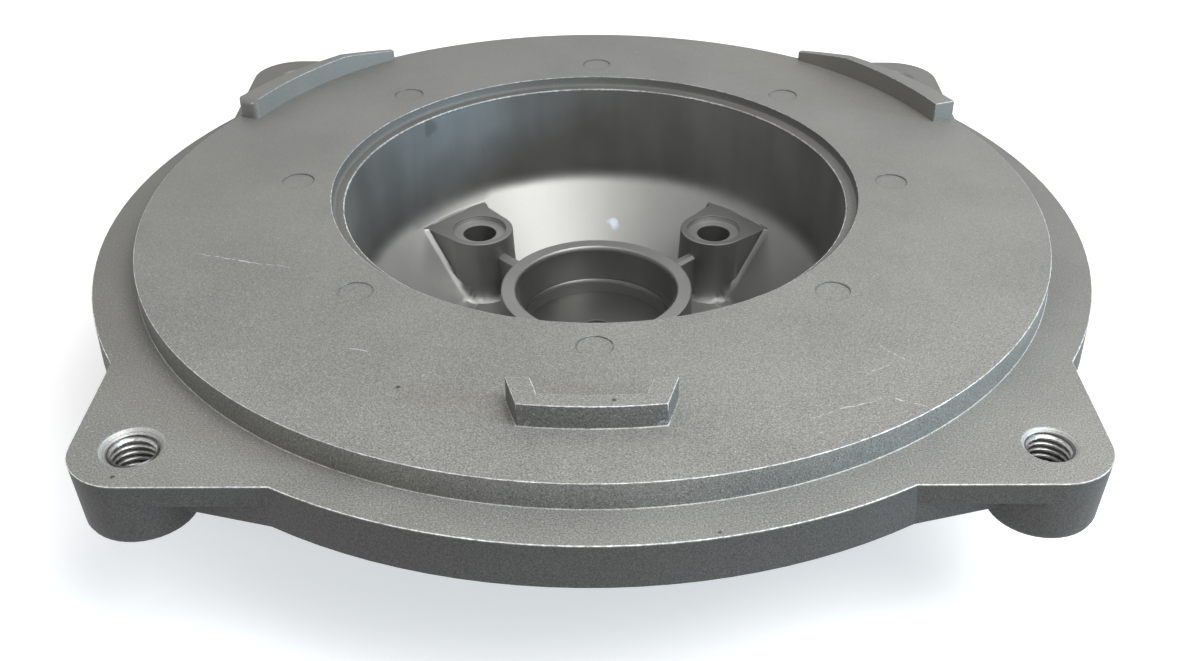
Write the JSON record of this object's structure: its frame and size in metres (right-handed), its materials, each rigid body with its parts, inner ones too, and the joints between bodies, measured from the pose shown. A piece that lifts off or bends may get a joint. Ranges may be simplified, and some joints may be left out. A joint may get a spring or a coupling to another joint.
{
  "type": "pump casing cover",
  "caption": "Cast aluminium casing cover with a round spigot face, four tapped corner lugs and a deep bowl that carries a bearing seat.",
  "frame": {"origin": "on the spigot's axis, in the plane where the flange meets its housing", "axes": "+Z out of the bowl's mouth along the spigot's axis, +Y to the side that the bowl is set to, +X to the right seen from the front tab"},
  "size_m": [0.2436, 0.2436, 0.0618],
  "materials": {
    "cast_aluminium": "bead-blasted die casting, fine matt grain with worn bright edges"
  },
  "bodies": {
    "root": {"cover_casting": "cast_aluminium"}
  },
  "joints": []
}
